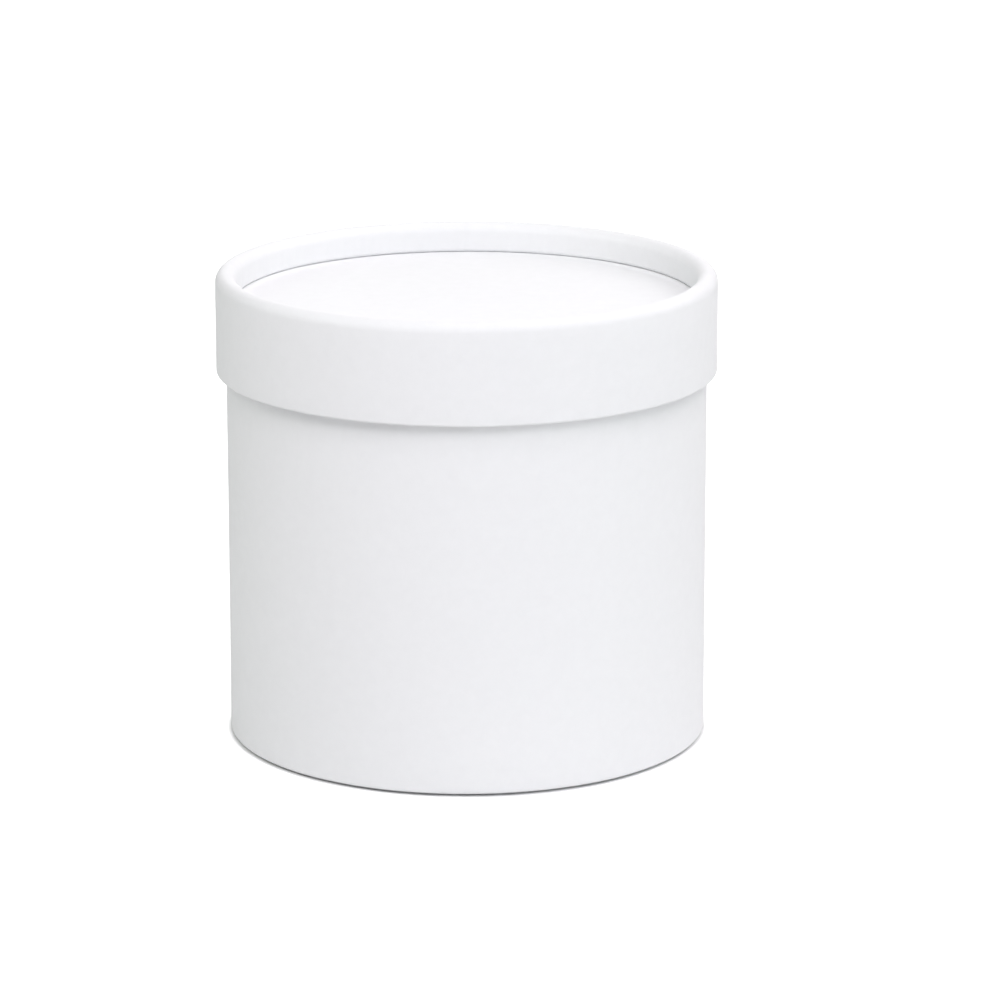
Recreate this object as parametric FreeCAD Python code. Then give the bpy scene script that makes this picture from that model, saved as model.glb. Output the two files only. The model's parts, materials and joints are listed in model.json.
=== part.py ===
"""Round flower box with a telescoping lid, built up from rolled board, board discs and covering papers.

Millimetres, +Z up. The origin is the centre of the face that the box stands on.
Every piece is a solid of revolution about Z, drawn as an outline of (radius, height) points.
"""
import FreeCAD
import Part

import math
import os

V = FreeCAD.Vector

# ---- driving dimensions -------------------------------------------------------------
TOTAL_HEIGHT = 120.0        # floor to the top of the closed lid's rim
BODY_DIAMETER = 122.0       # outside of the body, over the paper
LID_DIAMETER = 127.0        # outside of the lid, over the paper
LID_HEIGHT = 25.5           # lower edge to the top of the rim
RIM_WIDTH = 5.3             # rolled rim, from its outside to its inside
RECESS = 7.8                # top of the rim down to the lid's top panel

PAPER = 0.15                # every covering, lining and facing paper
BODY_PLY = 0.95             # each of the two boards rolled into the body's wall
RIM_BOARD = 0.9             # board of the lid's outer tube, which is curled into the rim
RING_BOARD = 0.8            # board of the ring inside the lid
PANEL_BOARD = 2.0           # base and top discs
BASE_PAD = 0.6              # card disc under the base, which the box stands on

MOUTH_TURN_IN = 15.0        # covering paper folded over the mouth and down inside
BASE_TURN_IN = 12.0         # covering paper folded under the base
LID_TURN_IN = 12.0          # covering paper folded up inside the lid
LINING_BELOW_MOUTH = 4.0    # the linings stop this far from the edges
LINING_ABOVE_EDGE = 3.0
BASE_PAD_MARGIN = 5.0       # wall to the edge of the card disc

EDGE_ROUND = 0.6            # paper corner where it folds over a board edge
FOOT_ROUND = 0.8            # the same at the foot of the body
JOGGLE = 0.8                # height or width over which a lining steps off a turned-in paper
JOGGLE_GAP = 0.1            # clear of that paper's end

BUTT_GAP = 0.3              # where the ends of a rolled board meet
PANEL_PLAY = 0.15           # a board disc inside its tube
LAP_WIDTH = 10.0            # one end of a covering paper over the other
LAP_RAMP = 2.5              # width over which the upper end comes down
LAP_END_CLEAR = 0.4         # a lap stops this far from the wall's rounded ends
TABS = 36                   # the turned-in papers are slit into tabs
SLIT_WIDTH = 0.25
SEAT_GAP = 0.05             # air left between the mouth and the closed lid

# Angles about +Z, counter-clockwise from +X, in degrees.
BODY_LAP_AT = 96.0
LID_LAP_AT = 121.0
BODY_LINING_LAP_AT = 66.0
LID_LINING_LAP_AT = 250.0
OUTER_PLY_BUTT_AT = 270.0
INNER_PLY_BUTT_AT = 110.0
LID_RING_BUTT_AT = 20.0

# ---- radii and heights worked out from them ------------------------------------------
BODY_R = BODY_DIAMETER / 2
OUTER_PLY_R = BODY_R - PAPER
INNER_PLY_R = OUTER_PLY_R - BODY_PLY
WALL_IN_R = INNER_PLY_R - BODY_PLY          # bare inner wall of the body
TURN_IN_R = WALL_IN_R - PAPER               # the paper folded into the mouth
MOUTH_R = TURN_IN_R - PAPER                 # the lining over that paper

LID_R = LID_DIAMETER / 2
RIM_TUBE_R = LID_R - PAPER
LID_RING_R = RIM_TUBE_R - RIM_BOARD
LID_WALL_IN_R = LID_RING_R - RING_BOARD     # bare inner wall of the lid
LID_TURN_IN_R = LID_WALL_IN_R - PAPER
LID_BORE_R = LID_TURN_IN_R - PAPER
RIM_IN_R = LID_R - RIM_WIDTH                # inside of the rolled rim
RIM_ROUND = RIM_WIDTH / 2
RIM_END_R = RIM_IN_R + PAPER + RIM_BOARD    # where the curled board ends

TOP_FACE_Z = TOTAL_HEIGHT - RECESS
PANEL_STACK = PANEL_BOARD + 2 * PAPER
PANEL_Z = TOP_FACE_Z - PANEL_STACK          # underside of the lid's panel
MOUTH_Z = PANEL_Z - SEAT_GAP                # top of the body, which the closed lid sits on
LID_EDGE_Z = TOTAL_HEIGHT - LID_HEIGHT

PAD_R = BODY_R - BASE_PAD_MARGIN
TAB_IN_R = BODY_R - BASE_TURN_IN
TABS_Z = BASE_PAD                           # underside of the folded tabs
BASE_Z = TABS_Z + PAPER                     # underside of the base board
FLOOR_Z = BASE_Z + PANEL_BOARD              # inside face of the base board

CUTTER_OVERRUN = 1.0        # how far a cutter reaches past what it cuts
SAME_POINT = 1e-6


# ---- drawing -------------------------------------------------------------------------
def rounded(before, corner, after, radius):
    """Start, middle and end of the arc that rounds a corner, all three at the corner if it is sharp."""
    if radius == 0:
        return corner, corner, corner
    back = (before - corner).normalize()
    on = (after - corner).normalize()
    half = back.getAngle(on) / 2
    reach = radius / math.tan(half)
    inward = (back + on).normalize()
    middle = corner + inward * (radius / math.sin(half) - radius)
    return corner + back * reach, middle, corner + on * reach


def outline(points):
    """A closed face in the X-Z plane. Each point is (radius, height) or (radius, height, rounding)."""
    corners = [V(r, 0, z) for r, z, *_ in points]
    count = len(points)
    arcs = []
    for i, point in enumerate(points):
        rounding = point[2] if len(point) > 2 else 0
        arcs.append(rounded(corners[i - 1], corners[i], corners[(i + 1) % count], rounding))
    edges = []
    for i, (start, middle, end) in enumerate(arcs):
        if start != end:
            edges.append(Part.Arc(start, middle, end).toShape())
        following = arcs[(i + 1) % count][0]
        if end.distanceToPoint(following) > SAME_POINT:
            edges.append(Part.makeLine(end, following))
    return Part.Face(Part.Wire(edges))


def left_of(direction):
    return V(-direction.z, 0, direction.x)


def offset_left(path, distance):
    """The same path, moved to the left of the way it runs. Its inner corners stay rounded, its ends sharp."""
    corners = [V(r, 0, z) for r, z, *_ in path]
    moved = []
    for i, point in enumerate(path):
        ways = []
        if i > 0:
            ways.append((corners[i] - corners[i - 1]).normalize())
        if i < len(path) - 1:
            ways.append((corners[i + 1] - corners[i]).normalize())
        lefts = left_of(ways[0]), left_of(ways[-1])
        place = corners[i] + (lefts[0] + lefts[1]) * (distance / (1 + lefts[0].dot(lefts[1])))
        rounding = 0
        if len(ways) == 2 and len(point) > 2:
            turns_left = ways[1].dot(lefts[0]) > 0
            rounding = max(point[2] + (-distance if turns_left else distance), 0)
        moved.append((place.x, place.z, rounding))
    return moved


def sheet(path, thickness):
    """A sheet whose show side follows the path, with its thickness on the left of the way it runs."""
    return outline(list(path) + offset_left(path, thickness)[::-1])


def turned(face, gap=0.0, at=0.0):
    """The face turned about Z. With a gap, the ring is left open by that width, centred on an angle."""
    radius = face.BoundBox.XMax
    open_angle = math.degrees(gap / radius)
    solid = face.revolve(V(0, 0, 0), V(0, 0, 1), 360 - open_angle)
    solid.rotate(V(0, 0, 0), V(0, 0, 1), at + open_angle / 2)
    return solid


def disc(radius, low, high):
    return Part.makeCylinder(radius, high - low, V(0, 0, low))


def polar(radius, degrees):
    a = math.radians(degrees)
    return V(radius * math.cos(a), radius * math.sin(a), 0)


def lap(radius, low, high, at, outward=True):
    """The upper end of a lapped paper: a step of one thickness at its free edge, a ramp at the other."""
    side = PAPER if outward else -PAPER
    root, top = radius - side / 2, radius + side
    width = math.degrees(LAP_WIDTH / radius)
    ramp = math.degrees(LAP_RAMP / radius)
    free, fold, foot = at - width / 2, at + width / 2 - ramp, at + width / 2
    corners = [polar(root, free), polar(top, free), polar(top, fold), polar(root, foot)]
    edges = [
        Part.makeLine(corners[0], corners[1]),
        Part.Arc(corners[1], polar(top, (free + fold) / 2), corners[2]).toShape(),
        Part.makeLine(corners[2], corners[3]),
        Part.Arc(corners[3], polar(root, (free + foot) / 2), corners[0]).toShape(),
    ]
    plan = Part.Face(Part.Wire(edges))
    plan.translate(V(0, 0, low))
    return plan.extrude(V(0, 0, high - low))


def slits(inner, outer, low, high):
    """Thin radial cutters that divide a turned-in paper into tabs."""
    cutters = []
    for i in range(TABS):
        cutter = Part.makeBox(outer - inner, SLIT_WIDTH, high - low, V(inner, -SLIT_WIDTH / 2, low))
        cutter.rotate(V(0, 0, 0), V(0, 0, 1), (i + 0.5) * 360 / TABS)
        cutters.append(cutter)
    return Part.makeCompound(cutters)


# ---- body ----------------------------------------------------------------------------
def body_wrap():
    """Covering paper: tabs under the base, up the wall, over the mouth and down inside."""
    paper = turned(sheet([
        (TAB_IN_R, TABS_Z),
        (BODY_R, TABS_Z, FOOT_ROUND),
        (BODY_R, MOUTH_Z, EDGE_ROUND),
        (TURN_IN_R, MOUTH_Z, EDGE_ROUND),
        (TURN_IN_R, MOUTH_Z - MOUTH_TURN_IN),
    ], PAPER))
    low = TABS_Z + FOOT_ROUND + LAP_END_CLEAR
    high = MOUTH_Z - EDGE_ROUND - LAP_END_CLEAR
    paper = paper.fuse(lap(BODY_R, low, high, BODY_LAP_AT))
    tab_root = BODY_R - FOOT_ROUND - LAP_END_CLEAR
    paper = paper.cut(slits(TAB_IN_R - CUTTER_OVERRUN, tab_root, 0, BASE_Z + PAPER))
    low = MOUTH_Z - MOUTH_TURN_IN - CUTTER_OVERRUN
    return paper.cut(slits(TURN_IN_R - PAPER, WALL_IN_R + PAPER, low, MOUTH_Z - EDGE_ROUND))


def body_outer_ply():
    return turned(outline([
        (INNER_PLY_R, BASE_Z),
        (OUTER_PLY_R, BASE_Z, FOOT_ROUND - PAPER),
        (OUTER_PLY_R, MOUTH_Z - PAPER, EDGE_ROUND - PAPER),
        (INNER_PLY_R, MOUTH_Z - PAPER),
    ]), BUTT_GAP, OUTER_PLY_BUTT_AT)


def body_inner_ply():
    """Stands on the base board and holds it down."""
    return turned(outline([
        (WALL_IN_R, FLOOR_Z),
        (INNER_PLY_R, FLOOR_Z),
        (INNER_PLY_R, MOUTH_Z - PAPER),
        (WALL_IN_R, MOUTH_Z - PAPER, EDGE_ROUND - PAPER),
    ]), BUTT_GAP, INNER_PLY_BUTT_AT)


def body_lining():
    """Lies over the turned-in paper at the top and steps out onto the bare wall below it."""
    step = MOUTH_Z - MOUTH_TURN_IN - JOGGLE_GAP
    low, high = FLOOR_Z + PAPER, MOUTH_Z - LINING_BELOW_MOUTH
    paper = turned(sheet([
        (MOUTH_R, high),
        (MOUTH_R, step),
        (TURN_IN_R, step - JOGGLE),
        (TURN_IN_R, low),
    ], PAPER))
    lap_top = step - JOGGLE - LAP_END_CLEAR
    lapped = lap(TURN_IN_R, low + LAP_END_CLEAR, lap_top, BODY_LINING_LAP_AT, outward=False)
    return paper.fuse(lapped)


def base_board():
    return disc(INNER_PLY_R - PANEL_PLAY, BASE_Z, FLOOR_Z)


def base_floor_paper():
    return disc(TURN_IN_R - PAPER - PANEL_PLAY, FLOOR_Z, FLOOR_Z + PAPER)


def base_pad():
    """Stiff card disc that covers the ends of the tabs and carries the box."""
    return disc(PAD_R, 0, BASE_PAD)


# ---- lid -----------------------------------------------------------------------------
def lid_wrap():
    """Covering paper: up inside the lower edge, up the wall, round the rolled rim and down to the panel."""
    paper = turned(sheet([
        (LID_TURN_IN_R, LID_EDGE_Z + LID_TURN_IN),
        (LID_TURN_IN_R, LID_EDGE_Z, EDGE_ROUND),
        (LID_R, LID_EDGE_Z, EDGE_ROUND),
        (LID_R, TOTAL_HEIGHT, RIM_ROUND),
        (RIM_IN_R, TOTAL_HEIGHT, RIM_ROUND),
        (RIM_IN_R, TOP_FACE_Z, RIM_BOARD + PAPER),
        (RIM_END_R, TOP_FACE_Z),
    ], PAPER))
    low = LID_EDGE_Z + EDGE_ROUND + LAP_END_CLEAR
    high = TOTAL_HEIGHT - RIM_ROUND - LAP_END_CLEAR
    paper = paper.fuse(lap(LID_R, low, high, LID_LAP_AT))
    high = LID_EDGE_Z + LID_TURN_IN + CUTTER_OVERRUN
    return paper.cut(slits(LID_BORE_R, LID_WALL_IN_R + PAPER, LID_EDGE_Z + EDGE_ROUND, high))


def lid_rim_tube():
    """The lid's outer tube, whose top is curled inwards and presses on the edge of the panel."""
    return turned(sheet([
        (RIM_TUBE_R, LID_EDGE_Z + PAPER, EDGE_ROUND - PAPER),
        (RIM_TUBE_R, TOTAL_HEIGHT - PAPER, RIM_ROUND - PAPER),
        (RIM_IN_R + PAPER, TOTAL_HEIGHT - PAPER, RIM_ROUND - PAPER),
        (RIM_IN_R + PAPER, TOP_FACE_Z + PAPER, RIM_BOARD),
        (RIM_END_R, TOP_FACE_Z + PAPER),
    ], RIM_BOARD))


def lid_inner_ring():
    """Holds the panel up against the curl."""
    return turned(outline([
        (LID_WALL_IN_R, LID_EDGE_Z + PAPER, EDGE_ROUND - PAPER),
        (LID_RING_R, LID_EDGE_Z + PAPER),
        (LID_RING_R, PANEL_Z),
        (LID_WALL_IN_R, PANEL_Z),
    ]), BUTT_GAP, LID_RING_BUTT_AT)


def lid_lining():
    """Lies over the turned-in paper at the bottom and steps out onto the bare wall above it."""
    step = LID_EDGE_Z + LID_TURN_IN + JOGGLE_GAP
    paper = turned(sheet([
        (LID_TURN_IN_R, PANEL_Z),
        (LID_TURN_IN_R, step + JOGGLE),
        (LID_BORE_R, step),
        (LID_BORE_R, LID_EDGE_Z + LINING_ABOVE_EDGE),
    ], PAPER))
    low = step + JOGGLE + LAP_END_CLEAR
    lapped = lap(LID_TURN_IN_R, low, PANEL_Z - LAP_END_CLEAR, LID_LINING_LAP_AT, outward=False)
    return paper.fuse(lapped)


def lid_top_board():
    return disc(LID_RING_R - PANEL_PLAY, PANEL_Z + PAPER, TOP_FACE_Z - PAPER)


def lid_top_paper():
    return disc(LID_RING_R - PANEL_PLAY, TOP_FACE_Z - PAPER, TOP_FACE_Z)


def lid_under_paper():
    return disc(LID_RING_R - PANEL_PLAY, PANEL_Z, PANEL_Z + PAPER)


PIECES = [
    body_wrap,
    body_outer_ply,
    body_inner_ply,
    body_lining,
    base_board,
    base_floor_paper,
    base_pad,
    lid_wrap,
    lid_rim_tube,
    lid_inner_ring,
    lid_lining,
    lid_top_board,
    lid_top_paper,
    lid_under_paper,
]


def main():
    os.makedirs("parts", exist_ok=True)
    for make in PIECES:
        shape = make()
        assert shape.isValid() and len(shape.Solids) == 1, make.__name__
        shape.exportStep(f"parts/{make.__name__}.step")
        print(f"{make.__name__}: {shape.Volume:.1f} mm3")


main()
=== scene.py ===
"""Looks of a round flower box with a lift-off lid: papers, as thin sheets wrapped round the CAD boards.

Metres, +Z up, in the CAD frame. Each paper is one closed sheet with its real thickness, its lapped seam,
its tabs where it is turned in, and the slight unevenness of paper glued on by hand.
"""

import json
import math

import bpy
import numpy as np
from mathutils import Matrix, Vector

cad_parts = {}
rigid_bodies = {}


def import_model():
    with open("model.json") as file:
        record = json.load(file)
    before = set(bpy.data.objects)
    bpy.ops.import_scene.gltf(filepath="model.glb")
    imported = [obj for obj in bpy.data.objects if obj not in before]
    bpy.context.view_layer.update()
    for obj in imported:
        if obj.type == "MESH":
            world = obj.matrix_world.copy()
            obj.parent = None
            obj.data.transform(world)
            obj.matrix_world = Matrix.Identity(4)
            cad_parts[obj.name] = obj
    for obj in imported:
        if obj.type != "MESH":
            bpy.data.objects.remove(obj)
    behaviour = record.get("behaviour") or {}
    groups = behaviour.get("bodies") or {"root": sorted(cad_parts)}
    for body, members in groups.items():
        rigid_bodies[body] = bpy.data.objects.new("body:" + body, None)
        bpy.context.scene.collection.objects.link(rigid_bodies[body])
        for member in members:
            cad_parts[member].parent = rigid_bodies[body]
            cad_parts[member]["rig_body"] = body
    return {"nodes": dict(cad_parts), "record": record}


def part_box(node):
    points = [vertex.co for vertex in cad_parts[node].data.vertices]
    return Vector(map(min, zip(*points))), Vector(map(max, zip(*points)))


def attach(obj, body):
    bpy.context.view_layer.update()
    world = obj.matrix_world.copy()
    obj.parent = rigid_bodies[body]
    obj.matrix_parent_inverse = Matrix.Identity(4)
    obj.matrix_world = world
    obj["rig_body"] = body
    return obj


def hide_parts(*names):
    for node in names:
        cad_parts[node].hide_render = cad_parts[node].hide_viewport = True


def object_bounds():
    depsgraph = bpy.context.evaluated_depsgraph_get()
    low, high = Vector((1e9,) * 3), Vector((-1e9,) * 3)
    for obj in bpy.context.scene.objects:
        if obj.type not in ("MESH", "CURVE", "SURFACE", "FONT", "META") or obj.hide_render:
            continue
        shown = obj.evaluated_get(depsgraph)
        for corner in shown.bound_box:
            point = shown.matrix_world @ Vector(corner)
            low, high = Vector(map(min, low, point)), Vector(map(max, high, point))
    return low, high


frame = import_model()
cad_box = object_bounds()

MM = 0.001
TURN = 2 * math.pi


# ---- sizes read from the frame --------------------------------------------------------
def radii(node):
    """Smallest and largest distance of a CAD node's points from the box's axis."""
    points = np.array([v.co for v in frame["nodes"][node].data.vertices])
    distance = np.hypot(points[:, 0], points[:, 1])
    return float(distance.min()), float(distance.max())


def low(node):
    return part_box(node)[0].z


def high(node):
    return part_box(node)[1].z


PAPER = high("base_floor_paper") - low("base_floor_paper")

BODY_R = radii("body_outer_ply")[1] + PAPER
WALL_IN_R = radii("body_inner_ply")[0]
TURN_IN_R = WALL_IN_R - PAPER
FOOT_Z = low("body_wrap")
MOUTH_Z = high("body_wrap")
TAB_IN_R = radii("body_wrap")[0]
FLOOR_Z = high("base_board")
FLOOR_PAPER_R = radii("base_floor_paper")[1]
PAD_R = radii("base_pad")[1]
PAD_LOW_Z = low("base_pad")
PAD_THICKNESS = high("base_pad") - PAD_LOW_Z
LINING_TOP_Z = high("body_lining")

LID_R = radii("lid_rim_tube")[1] + PAPER
RIM_BOARD = LID_R - PAPER - radii("lid_inner_ring")[1]
LID_WALL_IN_R = radii("lid_inner_ring")[0]
LID_TURN_IN_R = LID_WALL_IN_R - PAPER
RIM_IN_R = radii("lid_wrap")[0]
RIM_ROUND = (LID_R - RIM_IN_R) / 2
RIM_TOP_Z = high("lid_wrap")
LID_EDGE_Z = low("lid_wrap")
LID_LINING_LOW_Z = low("lid_lining")
PANEL_TOP_Z = high("lid_top_paper")
PANEL_LOW_Z = low("lid_under_paper")
PANEL_R = radii("lid_top_paper")[1]

# ---- sizes of the paperwork -----------------------------------------------------------
FOOT_ROUND = 0.8 * MM           # fold at the foot of the body
EDGE_ROUND = 0.6 * MM           # folds at the mouth and at the lid's lower edge
MOUTH_TURN_IN = 15 * MM
LID_TURN_IN = 12 * MM
JOGGLE = 0.8 * MM               # length over which a lining steps off a turned-in paper
JOGGLE_GAP = 0.1 * MM
LAP_WIDTH = 10 * MM             # one end of a paper over the other
LAP_RAMP = 2.5 * MM
AIR = 0.01 * MM                 # between two layers of paper
TABS = 36
SLIT_WIDTH = 0.25 * MM
SLIT_WANDER = math.radians(0.6)
SEAM_GREY_AND_SHADE_WIDTH = 0.4 * MM             # width of the grey line along a lap's cut edge: partly the cut paper's own grey, partly painted shade of the lap's step
BUTT_GAP = 0.02 * MM            # between a paper's two ends where they meet edge to edge

# Free edges of the lapped seams, as angles about +Z from +X. The back of the box is at 90 degrees.
BODY_SEAM = math.radians(91.3)
LID_SEAM = math.radians(116.5)
BODY_LINING_SEAM = math.radians(61)
LID_LINING_SEAM = math.radians(245)

# Unevenness of papers that were glued on by hand.
BODY_WAVE = 0.045 * MM
LID_WAVE = 0.04 * MM
PANEL_WAVE = 0.04 * MM
BODY_TWIST = 45                 # most that a wave shifts with height, in radians per metre
LID_TWIST = 60
PANEL_CROWN = 0.12 * MM         # rise of the recessed panel's middle
CREASE_DEPTH = 0.05 * MM        # small creases where the rim's paper is gathered
CREASE_WIDTH = 0.7 * MM
CREASE_SPACING = (2.2 * MM, 6.5 * MM)
CREASE_DRAWS = 400              # more than fit round the rim

ROW_STEP = 8 * MM               # longest gap between two rows of a sheet's mesh
ARC_STEP = math.radians(11)     # the same round a fold
DISC_RINGS = 44
SAME_POINT = 0.001 * MM         # rows closer than this are one row
SHARP = math.radians(40)
ON_WALL = 0.95                  # how squarely a row has to face outwards for a lap to lie on it


# ---- mesh -----------------------------------------------------------------------------
def smooth(t):
    """0 below 0, 1 above 1, and a smooth rise in between."""
    t = np.clip(t, 0, 1)
    return t * t * (3 - 2 * t)


def waves(seed, orders, amplitude, twist):
    """A gentle unevenness of the wall, as a function of angle and height. It closes after one turn."""
    rng = np.random.default_rng(seed)
    phases = rng.uniform(0, TURN, len(orders))
    twists = rng.uniform(-twist, twist, len(orders))

    def height(angle, z):
        total = sum(np.cos(k * angle + p + t * z) for k, p, t in zip(orders, phases, twists))
        return amplitude * total / math.sqrt(len(orders))

    return height


def skin(name, node, front, back, keep, seam_grey_and_shade=None):
    """A closed sheet between two grids of points, in place of a CAD node. Cells not kept are holes.

    The last argument is 1 at the points that a lap's cut edge runs through, and 0 elsewhere. There the
    material paints a grey line: partly the cut paper's own grey, partly painted shade of the lap's step.
    """
    columns, rows = front.shape[:2]
    number = np.arange(columns * rows).reshape(columns, rows)
    other = number + columns * rows

    def quads(mask, *corners):
        """One face for each cell in the mask. A corner is (side, column step, row step)."""
        i, j = np.nonzero(mask)
        return np.stack([(number if side == 0 else other)[i + di, j + dj] for side, di, dj in corners], 1)

    def lost(shift, axis):
        """Kept cells whose neighbour on one side isn't there."""
        padded = np.pad(keep, 1)
        return keep & ~np.roll(padded, shift, axis)[1:-1, 1:-1]

    faces = np.concatenate([
        quads(keep, (0, 0, 0), (0, 1, 0), (0, 1, 1), (0, 0, 1)),
        quads(keep, (1, 0, 0), (1, 0, 1), (1, 1, 1), (1, 1, 0)),
        quads(lost(1, 1), (0, 0, 0), (1, 0, 0), (1, 1, 0), (0, 1, 0)),
        quads(lost(-1, 1), (0, 0, 1), (0, 1, 1), (1, 1, 1), (1, 0, 1)),
        quads(lost(1, 0), (0, 0, 0), (0, 0, 1), (1, 0, 1), (1, 0, 0)),
        quads(lost(-1, 0), (0, 1, 0), (1, 1, 0), (1, 1, 1), (0, 1, 1)),
    ])
    used, faces = np.unique(faces, return_inverse=True)
    points = np.concatenate([front.reshape(-1, 3), back.reshape(-1, 3)])[used]
    mesh = bpy.data.meshes.new(name)
    mesh.from_pydata(points.tolist(), [], faces.reshape(-1, 4).tolist())
    mesh.polygons.foreach_set("use_smooth", [True] * len(mesh.polygons))
    mesh.set_sharp_from_angle(angle=SHARP)
    mesh.materials.append(MATERIALS[SLOTS[node]])
    # the line along a lap's cut edge: partly the paper's own grey, partly painted shade of the lap's step
    if seam_grey_and_shade is not None:
        shade = np.tile(seam_grey_and_shade.ravel(), 2)[used]
        mesh.attributes.new(CUT_EDGE, "FLOAT", "POINT").data.foreach_set("value", shade)
    piece = bpy.data.objects.new(name, mesh)
    bpy.context.scene.collection.objects.link(piece)
    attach(piece, frame["nodes"][node]["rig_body"])
    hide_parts(node)


def unit(vector):
    return vector / np.linalg.norm(vector)


def right_of(way):
    return np.array([way[1], -way[0]])


def turned(vector, angle):
    c, s = math.cos(angle), math.sin(angle)
    return np.array([c * vector[0] - s * vector[1], s * vector[0] + c * vector[1]])


def section(path):
    """Rows of a sheet along a path of (radius, height, rounding) corners, and the leg of each cell.

    A row is (radius, height, normal), and the normal points to the show side, on the right of the way the
    path runs. Leg k runs from corner k to corner k + 1, and the cells of a rounding have no leg (-1).
    """
    corners = [np.array(p[:2]) for p in path]
    ways = [unit(b - a) for a, b in zip(corners, corners[1:])]
    rows = [(*corners[0], *right_of(ways[0]))]
    legs = []
    here = corners[0]
    for k in range(1, len(corners)):
        before = ways[k - 1]
        after = ways[min(k, len(ways) - 1)]
        rounding = path[k][2] if len(path[k]) > 2 else 0
        bend = math.atan2(before[0] * after[1] - before[1] * after[0], before @ after)
        arrive = corners[k] - before * rounding * math.tan(abs(bend) / 2)
        gap = np.linalg.norm(arrive - here)
        count = math.ceil(gap / ROW_STEP) if gap > SAME_POINT else 0
        for t in np.arange(1, count) / max(count, 1):
            rows.append((*(here + (arrive - here) * t), *right_of(before)))
            legs.append(k - 1)
        if count:
            rows.append((*arrive, *unit(right_of(before) + (right_of(after) if rounding == 0 else 0))))
            legs.append(k - 1)
        here = arrive
        if rounding > 0:
            side = math.copysign(rounding, bend)
            centre = arrive - side * right_of(before)
            count = math.ceil(abs(bend) / ARC_STEP)
            for t in np.arange(1, count + 1) / count:
                normal = turned(right_of(before), bend * t)
                here = centre + side * normal
                rows.append((*here, *normal))
                legs.append(-1)
    return np.array(rows), np.array(legs)


def turn_columns(per_tab, radius, seed, slit):
    """Angles of the columns in one turn, narrow at the slits, and which columns are slits."""
    rng = np.random.default_rng(seed)
    wander = rng.uniform(-SLIT_WANDER, SLIT_WANDER, TABS) if slit else np.zeros(TABS)
    centres = np.arange(TABS) * TURN / TABS + wander
    half = slit / radius / 2
    angles, slits = [], []
    for here, following in zip(centres, np.append(centres[1:], centres[0] + TURN)):
        if slit:
            angles.append(here - half)
            slits.append(True)
        angles.extend(np.linspace(here + half, following - half, per_tab, endpoint=False))
        slits.extend([False] * per_tab)
    return np.array(angles), np.array(slits)


def wrapped(name, node, path, seam, uneven, outward=True, per_tab=10, tab_legs=(), seed=1, extra=None):
    """A paper wrapped once round the box. On the wall's show side its first end laps over its last."""
    rows, legs = section(path)
    radius = rows[:, 0].max()
    turn, slits = turn_columns(per_tab, radius, seed, SLIT_WIDTH if tab_legs else 0)
    count = len(turn)
    first = int(np.searchsorted(turn, seam))
    flat = LAP_WIDTH - LAP_RAMP
    last = first + count + math.ceil(flat / radius / (TURN / count))
    index = np.append(first, np.arange(first, last + 1))
    angle = turn[index % count] + TURN * (index // count)
    angle[0] += BUTT_GAP / radius
    angle[1] += SEAM_GREY_AND_SHADE_WIDTH / radius   # a narrow first column, for the grey line along the cut edge, partly painted shade of the lap's step
    reach = (angle - angle[0]) * radius
    lift = (PAPER + AIR) * (1 - smooth((reach - flat) / LAP_RAMP))

    r, z, normal_r, normal_z = (rows[:, k][None, :] for k in range(4))
    a = angle[:, None]
    on_wall = np.clip(normal_r if outward else -normal_r, 0, 1)
    push = lift[:, None] * on_wall + uneven(a, z) * np.abs(normal_r)
    if extra:
        push = push + extra(a, rows)

    def points(depth):
        radius_here = r + (push - depth) * normal_r
        z_here = z + (push - depth) * normal_z
        return np.stack([radius_here * np.cos(a), radius_here * np.sin(a), z_here + 0 * a], -1)

    cells = len(index) - 1, len(legs)
    in_tabs = slits[index[:-1] % count][:, None] & np.isin(legs, tab_legs)[None, :]
    under = (np.arange(cells[0]) > count)[:, None]
    pressed = (np.minimum(on_wall[0, :-1], on_wall[0, 1:]) < ON_WALL)[None, :]
    keep = np.ones(cells, bool) & ~in_tabs & ~(under & pressed)
    # the first column on the wall carries the grey line at the lap's cut edge, partly painted shade of
    # the lap's step
    skin(name, node, points(0), points(PAPER), keep, (reach == 0)[:, None] * on_wall)


def disc(name, node, radius, surface, facing, thickness=PAPER):
    """A round sheet on a square grid stretched to a circle. Surface gives the show side's height."""
    count = DISC_RINGS
    i, j = np.meshgrid(np.arange(-count, count + 1), np.arange(-count, count + 1), indexing="ij")
    ring = np.maximum(abs(i), abs(j))
    across = abs(i) >= abs(j)
    safe_i, safe_j = np.where(i == 0, 1, i), np.where(j == 0, 1, j)
    angle = np.where(across, j / safe_i * TURN / 8, TURN / 4 - i / safe_j * TURN / 8)
    sign = np.where(across, np.sign(i), np.sign(j))
    r = radius * ring / count
    x, y = sign * r * np.cos(angle), sign * r * np.sin(angle)
    z = surface(np.arctan2(y, x), r)
    front = np.stack([x, y, z], -1)
    back = np.stack([x, y, z - facing * thickness], -1)
    if facing < 0:
        front, back = front[:, ::-1], back[:, ::-1]
    skin(name, node, front, back, np.ones((2 * count, 2 * count), bool))


def level(height):
    """A disc's surface without any shape of its own."""
    return lambda angle, r: height + 0 * r


# ---- materials ------------------------------------------------------------------------
WHITE_TINT = (0.845, 0.85, 0.86, 1)
WHITE_SHADE = (0.82, 0.825, 0.835, 1)
CARD_TINT = (0.80, 0.79, 0.77, 1)
CARD_SHADE = (0.76, 0.75, 0.72, 1)
LINING_TINT = (0.87, 0.865, 0.85, 1)
LINING_SHADE = (0.83, 0.825, 0.805, 1)
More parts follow.
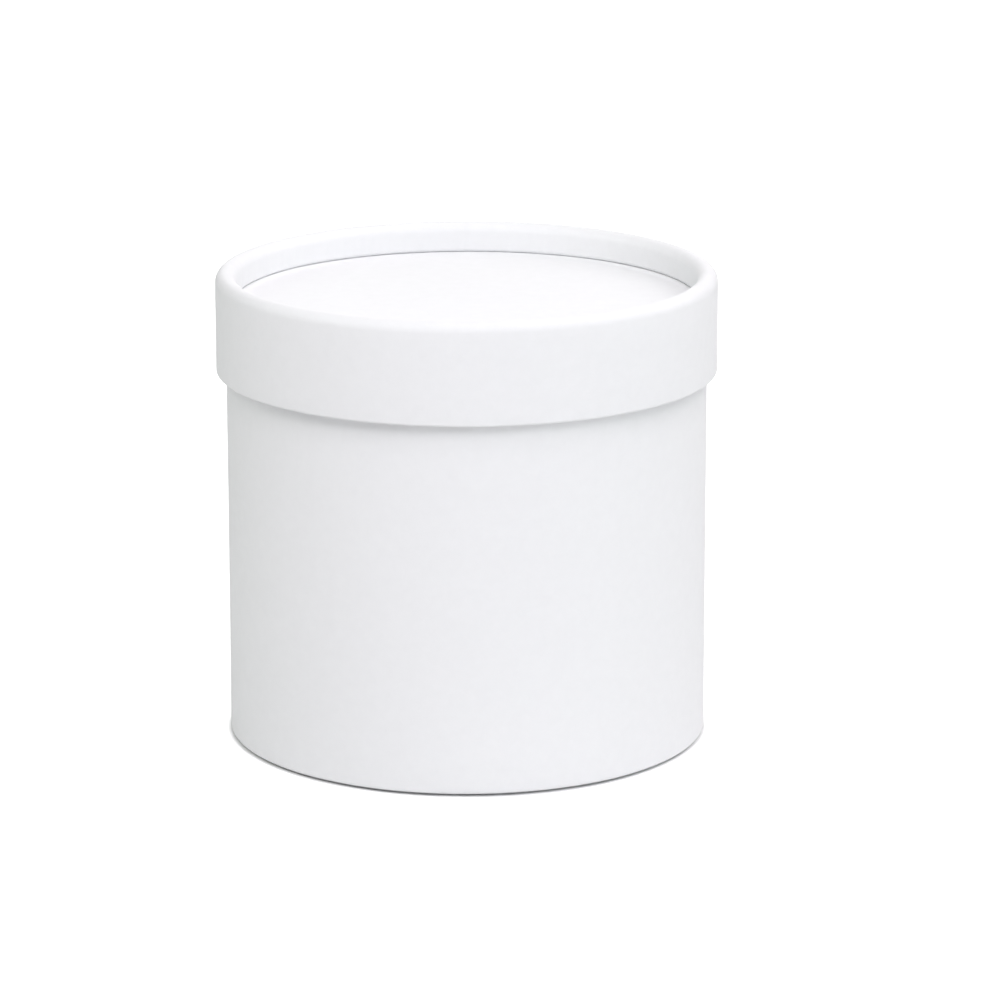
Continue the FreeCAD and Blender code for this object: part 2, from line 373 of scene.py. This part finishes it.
# Grey line along a lap's cut edge: partly the cut paper's own grey, partly painted shade of the step
# where the lap lies over the paper below.
SEAM_GREY_AND_SHADE_TINT = (0.55, 0.55, 0.55, 1)
CUT_EDGE = "seam_grey_and_shade"           # name of the mesh attribute that marks a lap's cut edge, where the grey line and painted shade go
CLOUD_DEPTH = 2.5               # depths of the paper's larger unevenness, against that of its fibres
GLUE_DEPTH = 8
GLOSS_SPREAD = 0.14
BOARD_DARK = (0.30, 0.275, 0.235, 1)
BOARD_PALE = (0.43, 0.40, 0.35, 1)
FLECK_TINT = (0.14, 0.125, 0.11, 1)
FIBRE_TINT = (0.56, 0.53, 0.47, 1)
BOARD_DEPTH = 0.06 * MM
FIBRE_TILTS = [(0.3, 0.2, 0.0), (1.2, 0.5, 0.9), (2.0, 1.1, 2.3), (0.8, 2.4, 1.6)]


# Sockets of a Mix node when it mixes colours. By name they can't be told from those for other types.
MIX_SHARE = 0
MIX_FIRST = 6
MIX_SECOND = 7
MIX_RESULT = 2


class Shader:
    """A material or world, whose nodes are added one call at a time."""

    def __init__(self, made, surface):
        made.use_nodes = True
        self.made = made
        self.tree = made.node_tree
        self.surface = self.tree.nodes[surface]

    def add(self, kind, inputs=None, **settings):
        """Adds a node. Inputs are values or other nodes' outputs, by socket name or number."""
        node = self.tree.nodes.new(kind)
        for key, value in settings.items():
            setattr(node, key, value)
        self.feed(node, inputs or {})
        return node

    def feed(self, node, inputs):
        for key, value in inputs.items():
            if isinstance(value, bpy.types.NodeSocket):
                self.tree.links.new(value, node.inputs[key])
            else:
                node.inputs[key].default_value = value

    def millimetres(self):
        """The place on the object, in millimetres."""
        place = self.add("ShaderNodeTexCoord").outputs["Object"]
        inputs = {"Vector": place, "Scale": (1 / MM, 1 / MM, 1 / MM)}
        return self.add("ShaderNodeMapping", inputs).outputs[0]

    def noise(self, place, per_mm, detail, roughness, distortion=0.0):
        inputs = {"Vector": place, "Scale": per_mm, "Detail": detail, "Roughness": roughness,
                  "Distortion": distortion}
        return self.add("ShaderNodeTexNoise", inputs).outputs["Fac"]

    def stretched(self, place, tilt, length, per_mm):
        """Fibres: noise drawn out along one direction."""
        inputs = {"Vector": place, "Rotation": tilt, "Scale": (1, 1, 1 / length)}
        laid = self.add("ShaderNodeMapping", inputs).outputs[0]
        return self.noise(laid, per_mm, detail=3, roughness=0.6, distortion=0.4)

    def math(self, operation, a, b):
        return self.add("ShaderNodeMath", {0: a, 1: b}, operation=operation).outputs[0]

    def remap(self, value, source, target):
        """Takes one range of values to another, and stops at its ends."""
        inputs = {"Value": value, "From Min": source[0], "From Max": source[1], "To Min": target[0],
                  "To Max": target[1]}
        return self.add("ShaderNodeMapRange", inputs).outputs[0]

    def weighted(self, a, b, share_of_a):
        part_a = self.math("MULTIPLY", a, share_of_a)
        return self.math("ADD", part_a, self.math("MULTIPLY", b, 1 - share_of_a))

    def mix(self, share, a, b):
        node = self.add("ShaderNodeMix", data_type="RGBA")
        self.feed(node, {MIX_SHARE: share, MIX_FIRST: a, MIX_SECOND: b})
        return node.outputs[MIX_RESULT]

    def bump(self, height, depth, normal=None):
        inputs = {"Height": height, "Distance": depth, "Strength": 1.0}
        if normal:
            inputs["Normal"] = normal
        return self.add("ShaderNodeBump", inputs).outputs[0]


def fibres(shader, place, length, per_mm):
    """Long fibres that lie in several directions, the highest on top."""
    layers = [shader.stretched(place, tilt, length, per_mm) for tilt in FIBRE_TILTS]
    top = layers[0]
    for layer in layers[1:]:
        top = shader.math("MAXIMUM", top, layer)
    return top


def paper(name, tint, shade, gloss, fibre_depth):
    """Matt paper: cloudy formation, fine fibres and the slight waviness of a glued sheet."""
    s = Shader(bpy.data.materials.new(name), "Principled BSDF")
    place = s.millimetres()
    cloud = s.noise(place, per_mm=0.35, detail=4, roughness=0.6)
    fine = s.noise(place, per_mm=3.0, detail=3, roughness=0.6)
    threads = fibres(s, place, length=7, per_mm=2.2)
    glue = s.noise(place, per_mm=0.06, detail=2, roughness=0.4)
    normal = s.bump(s.weighted(threads, fine, 0.7), fibre_depth)
    normal = s.bump(cloud, fibre_depth * CLOUD_DEPTH, normal)
    normal = s.bump(glue, fibre_depth * GLUE_DEPTH, normal)
    mottle = s.remap(s.weighted(cloud, fine, 0.6), (0.3, 0.7), (0, 1))
    # Greyer towards a lap's cut edge: partly the paper's own grey, partly painted shade of the lap's
    # step.
    seam_grey_and_shade = s.add("ShaderNodeAttribute", attribute_name=CUT_EDGE).outputs["Fac"]
    s.feed(s.surface, {
        "Base Color": s.mix(seam_grey_and_shade, s.mix(mottle, tint, shade), SEAM_GREY_AND_SHADE_TINT),
        "Roughness": s.remap(cloud, (0.3, 0.8), (gloss, gloss + GLOSS_SPREAD)),
        "Normal": normal,
        "Specular IOR Level": 0.3,
        "Sheen Weight": 0.08,
        "Sheen Roughness": 0.6,
    })
    return s.made


def greyboard(name):
    """Recycled board: grey-brown pulp with darker and paler flecks, rolled or cut from sheet."""
    s = Shader(bpy.data.materials.new(name), "Principled BSDF")
    place = s.millimetres()
    pulp = s.noise(place, per_mm=0.8, detail=5, roughness=0.65)
    threads = fibres(s, place, length=5, per_mm=1.6)
    flecks = s.remap(s.noise(place, per_mm=1.9, detail=2, roughness=0.5), (0.66, 0.74), (0, 0.6))
    colour = s.mix(pulp, BOARD_DARK, BOARD_PALE)
    colour = s.mix(flecks, colour, FLECK_TINT)
    colour = s.mix(s.remap(threads, (0.62, 0.8), (0, 0.5)), colour, FIBRE_TINT)
    s.feed(s.surface, {
        "Base Color": colour,
        "Roughness": s.remap(pulp, (0.2, 0.8), (0.82, 0.95)),
        "Normal": s.bump(s.weighted(threads, pulp, 0.6), BOARD_DEPTH),
        "Specular IOR Level": 0.2,
    })
    return s.made


# ---- body -----------------------------------------------------------------------------
def body_covering():
    """Tabs under the base, up the wall, over the mouth and down inside."""
    path = [
        (TAB_IN_R, FOOT_Z),
        (BODY_R, FOOT_Z, FOOT_ROUND),
        (BODY_R, MOUTH_Z, EDGE_ROUND),
        (TURN_IN_R, MOUTH_Z, EDGE_ROUND),
        (TURN_IN_R, MOUTH_Z - MOUTH_TURN_IN),
    ]
    wrapped("body_covering", "body_wrap", path, BODY_SEAM, BODY_UNEVEN, tab_legs=(0, 3), seed=11)


def body_lining():
    """Over the turned-in tabs at the top, then out onto the bare wall below them."""
    step = MOUTH_Z - MOUTH_TURN_IN - JOGGLE_GAP
    path = [
        (TURN_IN_R - PAPER, LINING_TOP_Z),
        (TURN_IN_R - PAPER, step),
        (TURN_IN_R, step - JOGGLE),
        (TURN_IN_R, FLOOR_Z + PAPER),
    ]
    wrapped("body_lining_paper", "body_lining", path, BODY_LINING_SEAM, BODY_UNEVEN, outward=False)


def floor_lining():
    disc("floor_lining_paper", "base_floor_paper", FLOOR_PAPER_R, level(FLOOR_Z + PAPER), 1)


def base_card():
    """Covers the ends of the tabs. The box stands on it."""
    disc("base_card_disc", "base_pad", PAD_R, level(PAD_LOW_Z), -1, PAD_THICKNESS)


# ---- lid ------------------------------------------------------------------------------
def rim_creases(angle, rows):
    """Fine creases in the paper where the rim curls inwards to a smaller circle."""
    rng = np.random.default_rng(31)
    centres = np.cumsum(rng.uniform(*CREASE_SPACING, CREASE_DRAWS) / RIM_IN_R)
    centres = centres[centres < TURN]
    depths = rng.uniform(0.2, 1.0, len(centres)) * CREASE_DEPTH
    away = (angle - centres + TURN / 2) % TURN - TURN / 2
    crease = (depths * np.exp(-(away * RIM_IN_R / CREASE_WIDTH) ** 2)).sum(1, keepdims=True)
    on_curl = np.clip(-rows[:, 2], 0, 1) * (rows[:, 1] > PANEL_TOP_Z - PAPER)
    return -crease * on_curl[None, :]


def lid_covering():
    """Up inside the lower edge, up the wall, round the curled rim and tucked down onto the panel."""
    foot = RIM_BOARD + PAPER
    path = [
        (LID_TURN_IN_R, LID_EDGE_Z + LID_TURN_IN),
        (LID_TURN_IN_R, LID_EDGE_Z, EDGE_ROUND),
        (LID_R, LID_EDGE_Z, EDGE_ROUND),
        (LID_R, RIM_TOP_Z, RIM_ROUND),
        (RIM_IN_R, RIM_TOP_Z, RIM_ROUND),
        (RIM_IN_R, PANEL_TOP_Z, foot),
        (RIM_IN_R + foot, PANEL_TOP_Z),
    ]
    wrapped("lid_covering", "lid_wrap", path, LID_SEAM, LID_UNEVEN, per_tab=20, tab_legs=(0,), seed=21,
            extra=rim_creases)


def lid_lining():
    """Over the turned-in tabs at the bottom, then out onto the bare wall above them."""
    step = LID_EDGE_Z + LID_TURN_IN + JOGGLE_GAP
    path = [
        (LID_TURN_IN_R, PANEL_LOW_Z),
        (LID_TURN_IN_R, step + JOGGLE),
        (LID_TURN_IN_R - PAPER, step),
        (LID_TURN_IN_R - PAPER, LID_LINING_LOW_Z),
    ]
    wrapped("lid_lining_paper", "lid_lining", path, LID_LINING_SEAM, LID_UNEVEN, outward=False)


def lid_top():
    """The recessed panel's paper, with the slight crown of the board under it."""
    clamped = RIM_IN_R - RIM_ROUND

    def surface(angle, r):
        sway = PANEL_UNEVEN(angle, 0 * r) * smooth(2 * r / clamped)
        return PANEL_TOP_Z + (PANEL_CROWN + sway) * (1 - smooth(r / clamped))

    disc("lid_top_sheet", "lid_top_paper", PANEL_R, surface, 1)


def lid_underside():
    disc("lid_underside_sheet", "lid_under_paper", PANEL_R, level(PANEL_LOW_Z), -1)


SLOTS = {row["node"]: row["material_slot"] for row in frame["record"]["subparts"]}
MATERIALS = {
    "white_wrap_paper": paper("white_covering_paper", WHITE_TINT, WHITE_SHADE, 0.55, 0.008 * MM),
    "white_card": paper("white_card", CARD_TINT, CARD_SHADE, 0.7, 0.014 * MM),
    "lining_paper": paper("uncoated_lining_paper", LINING_TINT, LINING_SHADE, 0.78, 0.018 * MM),
    "greyboard": greyboard("grey_board"),
}
BODY_UNEVEN = waves(3, [2, 3, 4, 5, 7, 9, 11, 14], BODY_WAVE, BODY_TWIST)
LID_UNEVEN = waves(5, [2, 3, 5, 7, 8, 11, 13], LID_WAVE, LID_TWIST)
PANEL_UNEVEN = waves(7, [1, 2, 3], PANEL_WAVE, 0)

body_covering()
body_lining()
floor_lining()
base_card()
lid_covering()
lid_lining()
lid_top()
lid_underside()
for name, cad_piece in frame["nodes"].items():
    cad_piece.data.materials.clear()
    cad_piece.data.materials.append(MATERIALS[SLOTS[name]])


# ---- stage ----------------------------------------------------------------------------
SKY = (0.03, 0.03, 0.03)
BACKDROP = (1.3, 1.3, 1.3)      # burnt out to white, as the floor is
FLOOR_REACH = 1.0
FLOOR_SIDES = 96
FLOOR_COLOUR = (0.87, 0.87, 0.87)
FLOOR_LIFT = 0.6                # the camera sees the floor burnt out to white,
FLOOR_LIFT_EDGE = 1.5 * MM      # but not under the box: the lift sets in over this width outside the wall
CAMERA_LENS = 168.9
CAMERA_ELEVATION = math.radians(14.8)
CAMERA_DISTANCE = 1.2
CAMERA_AIM = Vector((8.4 * MM, 0, 59.65 * MM))
LIGHT_DISTANCE = 1.4
LIGHT_SIZE = 1.0
LIGHTS = [
    # name, azimuth and elevation in degrees, watts, colour
    ("front_above", 0, 55, 14.0, (1, 0.95, 1)),
    ("front_right", 40, 30, 6.0, (0.91, 1, 0.98)),
    ("left", -90, 35, 6.9, (0.94, 1, 0.93)),
    ("back_right", 120, 40, 9.6, (1, 0.96, 0.97)),
    ("back_low", 180, 15, 4.8, (1, 1, 1)),
]


def towards(azimuth, elevation):
    """A direction away from the box. Azimuth 0 is in front of it and 90 on its right."""
    level_part = math.cos(elevation)
    return Vector((math.sin(azimuth) * level_part, -math.cos(azimuth) * level_part, math.sin(elevation)))


def put_facing(made, location, aim):
    """Puts a light or camera in the scene, facing a point."""
    seen = bpy.data.objects.new(made.name, made)
    seen.location = location
    seen.rotation_euler = (aim - location).to_track_quat("-Z", "Y").to_euler()
    bpy.context.scene.collection.objects.link(seen)
    return seen


def world():
    """White to the camera, and a soft even sky to everything else."""
    s = Shader(bpy.data.worlds.new("studio"), "Background")
    seen = s.add("ShaderNodeLightPath").outputs["Is Camera Ray"]
    s.feed(s.surface, {"Color": s.mix(seen, (*SKY, 1), (*BACKDROP, 1))})
    bpy.context.scene.world = s.made


def table_top():
    """A pale floor that the camera sees as white as the backdrop, apart from the box's contact shadow."""
    ring = [towards(TURN * k / FLOOR_SIDES, 0) * FLOOR_REACH for k in range(FLOOR_SIDES)]
    mesh = bpy.data.meshes.new("studio_floor")
    mesh.from_pydata(ring, [], [list(range(FLOOR_SIDES))])
    floor = bpy.data.objects.new("studio_floor", mesh)
    floor.location.z = cad_box[0].z - AIR
    bpy.context.scene.collection.objects.link(floor)
    s = Shader(bpy.data.materials.new("pale_floor"), "Principled BSDF")
    seen = s.add("ShaderNodeLightPath").outputs["Is Camera Ray"]
    spot = s.add("ShaderNodeTexCoord").outputs["Object"]
    from_axis = s.add("ShaderNodeVectorMath", {0: spot}, operation="LENGTH").outputs["Value"]
    lift = s.remap(from_axis, (BODY_R, BODY_R + FLOOR_LIFT_EDGE), (0, FLOOR_LIFT))
    s.feed(s.surface, {
        "Base Color": (*FLOOR_COLOUR, 1),
        "Roughness": 0.9,
        "Specular IOR Level": 0.0,
        "Emission Color": (1, 1, 1, 1),
        "Emission Strength": s.math("MULTIPLY", seen, lift),
    })
    mesh.materials.append(s.made)


def softbox(name, azimuth, elevation, power, colour):
    """A square area light that faces the middle of the box."""
    lamp = bpy.data.lights.new(name, "AREA")
    lamp.size = LIGHT_SIZE
    lamp.energy = power
    lamp.color = colour
    centre = (cad_box[0] + cad_box[1]) / 2
    away = towards(math.radians(azimuth), math.radians(elevation)) * LIGHT_DISTANCE
    put_facing(lamp, centre + away, centre).visible_camera = False


def camera():
    """In front of the box and a little above it, with the box left of the middle of the picture."""
    made = bpy.data.cameras.new("camera")
    made.lens = CAMERA_LENS
    away = towards(0, CAMERA_ELEVATION) * CAMERA_DISTANCE
    bpy.context.scene.camera = put_facing(made, CAMERA_AIM + away, CAMERA_AIM)


world()
table_top()
for light in LIGHTS:
    softbox(*light)
camera()
bpy.context.scene.view_settings.view_transform = "Standard"
